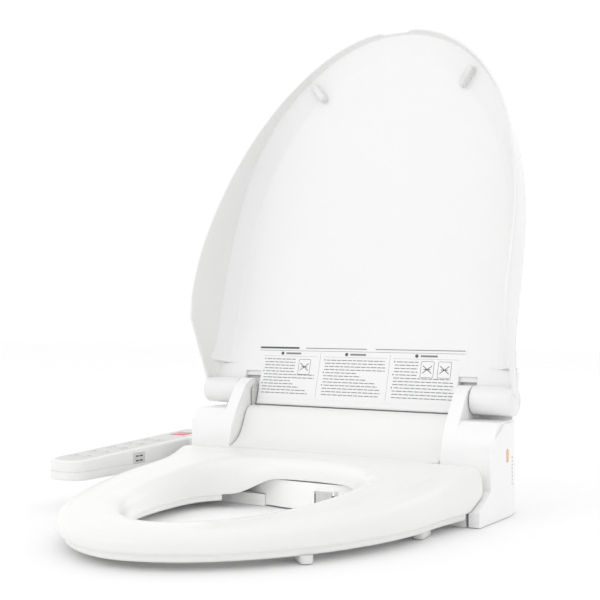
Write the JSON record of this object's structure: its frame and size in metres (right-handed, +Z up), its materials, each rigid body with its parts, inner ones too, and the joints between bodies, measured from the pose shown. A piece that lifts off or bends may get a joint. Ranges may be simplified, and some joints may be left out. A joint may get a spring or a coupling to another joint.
{
  "type": "electric bidet seat",
  "caption": "Electric bidet seat with a heated ring, a deep soft-close lid, a rear housing with washing nozzle and dryer, and a side control arm",
  "frame": {"origin": "midpoint of the two bowl bolts, on the plane of the toilet rim", "axes": "+X to the right seen from the front, +Y to the rear (the seat's tip points to -Y), +Z up"},
  "size_m": [0.483, 0.6053, 0.598],
  "materials": {
    "housing_white": "glossy moulded plastic with a fine orange peel",
    "lid_white": "glossy moulded plastic",
    "seat_white": "glossy moulded plastic, slightly warm",
    "arm_white": "satin moulded plastic",
    "key_white": "satin key caps with grey symbols",
    "soft_grey": "pale grey soft rubber",
    "black_rubber": "black rubber",
    "dark_plastic": "dark matt plastic",
    "steel": "brushed stainless steel",
    "motor_steel": "zinc-grey painted metal",
    "tank_plastic": "natural plastic",
    "brass": "machined brass",
    "board_green": "green solder mask",
    "heater_film": "aluminium foil heater",
    "label_print": "printed film with pale grey marks",
    "amber_lens": "amber lens",
    "red_strip": "red translucent strip",
    "smoked_window": "smoked infrared window",
    "nozzle_white": "glossy nozzle plastic",
    "shutter_grey": "grey flap"
  },
  "bodies": {
    "housing": {"air_duct": "dark_plastic", "arm_board": "board_green", "arm_indicator_strip": "red_strip", "arm_lower_case": "arm_white", "arm_side_window": "smoked_window", "arm_top_case": "arm_white", "base_plate": "housing_white", "control_board": "board_green", "cord_gland": "black_rubber", "cover_screws": "steel", "fan_housing": "dark_plastic", "fan_motor": "motor_steel", "filter_cassette": "dark_plastic", "heater_element": "steel", "housing_cover": "housing_white", "lamp_lens": "amber_lens", "left_side_cover": "housing_white", "lid_hinge_pin": "steel", "mounting_bracket": "steel", "nozzle_bay_cover": "housing_white", "nozzle_motor": "motor_steel", "nozzle_rail": "dark_plastic", "rear_panel": "housing_white", "right_side_cover": "housing_white", "seat_damper": "dark_plastic", "solenoid_valve": "motor_steel", "water_inlet": "brass", "water_pump": "motor_steel", "water_tank": "tank_plastic"},
    "lid": {"lid_outer_shell": "lid_white", "lid_inner_panel": "lid_white", "lid_bumpers": "soft_grey", "lid_label": "label_print", "lid_damper": "dark_plastic"},
    "seat": {"seat_upper_shell": "seat_white", "seat_lower_shell": "seat_white", "seat_heater": "heater_film", "seat_bumpers": "soft_grey", "seat_hinge_ears": "dark_plastic", "seat_hinge_pin": "steel"},
    "nozzle": {"nozzle_tube": "nozzle_white", "nozzle_tip": "nozzle_white"},
    "shutter": {"nozzle_shutter": "shutter_grey"},
    "pinion": {"nozzle_pinion": "dark_plastic"},
    "fan": {"fan_rotor": "dark_plastic"},
    "release": {"release_button": "housing_white"},
    "key_inner_1_body": {"key_inner_1": "key_white"},
    "key_inner_2_body": {"key_inner_2": "key_white"},
    "key_inner_3_body": {"key_inner_3": "key_white"},
    "key_inner_4_body": {"key_inner_4": "key_white"},
    "key_inner_5_body": {"key_inner_5": "key_white"},
    "key_outer_1_body": {"key_outer_1": "key_white"},
    "key_outer_2_body": {"key_outer_2": "key_white"},
    "key_outer_3_body": {"key_outer_3": "key_white"},
    "key_outer_4_body": {"key_outer_4": "key_white"},
    "key_outer_5_body": {"key_outer_5": "key_white"}
  },
  "joints": [
    {"name": "lid_hinge", "type": "hinge", "parent": "housing", "child": "lid", "pos_m": [0, 0.012, 0.1275], "axis": [-1, 0, 0], "range_deg": [-117.5, 0]},
    {"name": "seat_hinge", "type": "hinge", "parent": "housing", "child": "seat", "pos_m": [0, 0.012, 0.1275], "axis": [-1, 0, 0], "range_deg": [0, 108]},
    {"name": "nozzle_slide", "type": "slide", "parent": "housing", "child": "nozzle", "axis": [0, -0.9397, -0.342], "range_m": [0, 0.09]},
    {"name": "shutter_hinge", "type": "hinge", "parent": "housing", "child": "shutter", "pos_m": [0.024, -0.0976, 0.0235], "axis": [-1, 0, 0], "range_deg": [0, 101]},
    {"name": "pinion_spin", "type": "hinge", "parent": "housing", "child": "pinion", "pos_m": [0.024, 0.00827, 0.06076], "axis": [-1, 0, 0], "range_deg": [0, 1150]},
    {"name": "fan_spin", "type": "hinge", "parent": "housing", "child": "fan", "pos_m": [0.1, 0.05, 0.062], "axis": [0, 1, 0], "continuous": true},
    {"name": "release_push", "type": "slide", "parent": "housing", "child": "release", "axis": [1, 0, 0], "range_m": [0, 0.003], "stiffness_N_per_m": 400, "springref_m": -0.001},
    {"name": "key_inner_1_press", "type": "slide", "parent": "housing", "child": "key_inner_1_body", "axis": [0, 0.0459, -0.9989], "range_m": [0, 0.0008], "stiffness_N_per_m": 300, "springref_m": -0.001},
    {"name": "key_inner_2_press", "type": "slide", "parent": "housing", "child": "key_inner_2_body", "axis": [0, 0.0459, -0.9989], "range_m": [0, 0.0008], "stiffness_N_per_m": 300, "springref_m": -0.001},
    {"name": "key_inner_3_press", "type": "slide", "parent": "housing", "child": "key_inner_3_body", "axis": [0, 0.0459, -0.9989], "range_m": [0, 0.0008], "stiffness_N_per_m": 300, "springref_m": -0.001},
    {"name": "key_inner_4_press", "type": "slide", "parent": "housing", "child": "key_inner_4_body", "axis": [0, 0.0459, -0.9989], "range_m": [0, 0.0008], "stiffness_N_per_m": 300, "springref_m": -0.001},
    {"name": "key_inner_5_press", "type": "slide", "parent": "housing", "child": "key_inner_5_body", "axis": [0, 0.0459, -0.9989], "range_m": [0, 0.0008], "stiffness_N_per_m": 300, "springref_m": -0.001},
    {"name": "key_outer_1_press", "type": "slide", "parent": "housing", "child": "key_outer_1_body", "axis": [0, 0.0459, -0.9989], "range_m": [0, 0.0008], "stiffness_N_per_m": 300, "springref_m": -0.001},
    {"name": "key_outer_2_press", "type": "slide", "parent": "housing", "child": "key_outer_2_body", "axis": [0, 0.0459, -0.9989], "range_m": [0, 0.0008], "stiffness_N_per_m": 300, "springref_m": -0.001},
    {"name": "key_outer_3_press", "type": "slide", "parent": "housing", "child": "key_outer_3_body", "axis": [0, 0.0459, -0.9989], "range_m": [0, 0.0008], "stiffness_N_per_m": 300, "springref_m": -0.001},
    {"name": "key_outer_4_press", "type": "slide", "parent": "housing", "child": "key_outer_4_body", "axis": [0, 0.0459, -0.9989], "range_m": [0, 0.0008], "stiffness_N_per_m": 300, "springref_m": -0.001},
    {"name": "key_outer_5_press", "type": "slide", "parent": "housing", "child": "key_outer_5_body", "axis": [0, 0.0459, -0.9989], "range_m": [0, 0.0008], "stiffness_N_per_m": 300, "springref_m": -0.001}
  ],
  "couplings": [
    {"joint": "shutter_hinge", "follows": "nozzle_slide", "rad_per_m": 19.392},
    {"joint": "pinion_spin", "follows": "nozzle_slide", "rad_per_m": 222.22}
  ]
}
